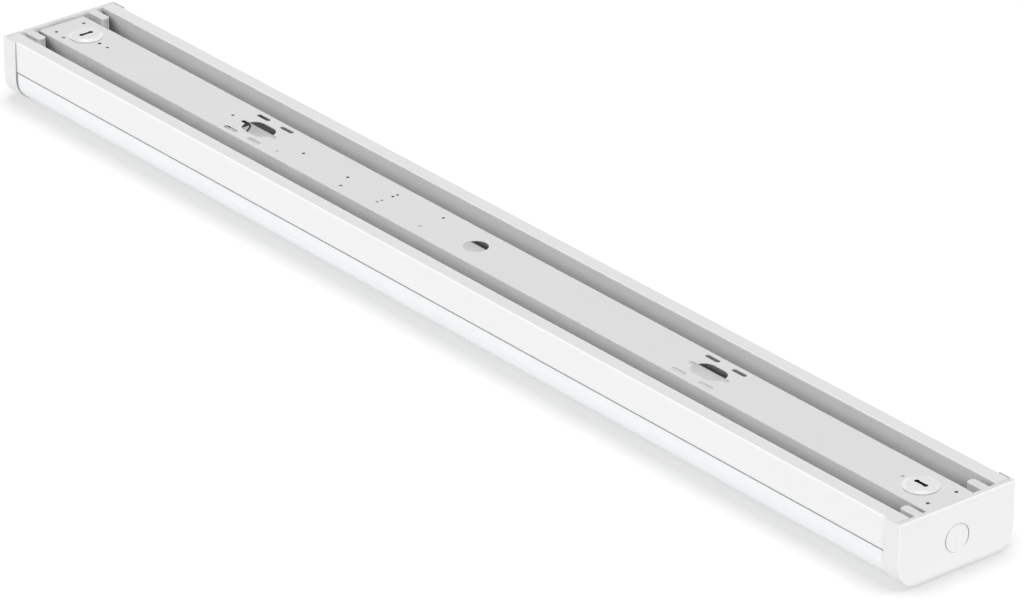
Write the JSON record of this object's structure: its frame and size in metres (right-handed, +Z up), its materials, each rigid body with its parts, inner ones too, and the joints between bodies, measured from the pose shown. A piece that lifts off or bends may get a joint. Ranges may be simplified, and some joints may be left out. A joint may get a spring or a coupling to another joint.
{
  "type": "linear strip light",
  "caption": "Long white strip light with a folded housing, mounting spine, opal diffuser and pull-off end caps.",
  "frame": {"origin": "under the middle of the light, at the underside of the end caps", "axes": "+X along the light to the end with the cable plug's slot along the light, +Y across it, +Z up towards the ceiling side"},
  "size_m": [1.195, 0.1218, 0.06],
  "materials": {
    "white_enamel": "satin",
    "spine_enamel": "satin",
    "rivet_alloy": "satin",
    "opal": "satin",
    "cap_plastic": "fine grained",
    "plug_plastic": "satin",
    "board_white": "solder mask",
    "phosphor": "phosphor",
    "screw_steel": "zinc plated",
    "connector_plastic": "matt",
    "lead_red": "insulation",
    "lead_black": "insulation",
    "lead_white": "insulation",
    "lead_green": "insulation",
    "grommet_rubber": "matt",
    "screw_black": "black oxide",
    "driver_black": "matt",
    "board_green": "solder mask",
    "transformer_tape": "taped",
    "capacitor_sleeve": "sleeved",
    "clamp_brass": "satin",
    "earth_green": "satin"
  },
  "bodies": {
    "light_body": {"housing": "white_enamel", "mounting_spine": "spine_enamel", "spine_rivets": "rivet_alloy", "diffuser": "opal", "led_board_left": "board_white", "led_board_right": "board_white", "led_chips_left": "phosphor", "led_chips_right": "phosphor", "board_screws": "screw_steel", "board_connectors": "connector_plastic", "board_jumper": "lead_red", "lead_grommets": "grommet_rubber", "driver_base": "driver_black", "driver_case": "driver_black", "driver_board": "board_green", "driver_transformer": "transformer_tape", "driver_capacitors": "capacitor_sleeve", "driver_screws": "screw_black", "terminal_block": "connector_plastic", "terminal_clamps": "clamp_brass", "terminal_screws": "screw_steel", "live_lead": "lead_black", "neutral_lead": "lead_white", "earth_lead": "lead_green", "earth_screw": "earth_green", "earth_tag": "clamp_brass", "led_lead_red": "lead_red", "led_lead_black": "lead_black"},
    "left_cap": {"end_cap_left": "cap_plastic"},
    "right_cap": {"end_cap_right": "cap_plastic"},
    "left_plug": {"cable_plug_left": "plug_plastic"},
    "right_plug": {"cable_plug_right": "plug_plastic"}
  },
  "joints": [
    {"name": "left_cap_pull", "type": "slide", "parent": "light_body", "child": "left_cap", "axis": [-1, 0, 0], "range_m": [0, 0.03]},
    {"name": "right_cap_pull", "type": "slide", "parent": "light_body", "child": "right_cap", "axis": [1, 0, 0], "range_m": [0, 0.03]},
    {"name": "left_plug_turn", "type": "hinge", "parent": "light_body", "child": "left_plug", "pos_m": [-0.5545, 0, 0.0571], "axis": [0, 0, 1], "continuous": true},
    {"name": "right_plug_turn", "type": "hinge", "parent": "light_body", "child": "right_plug", "pos_m": [0.5545, 0, 0.0571], "axis": [0, 0, 1], "continuous": true}
  ]
}
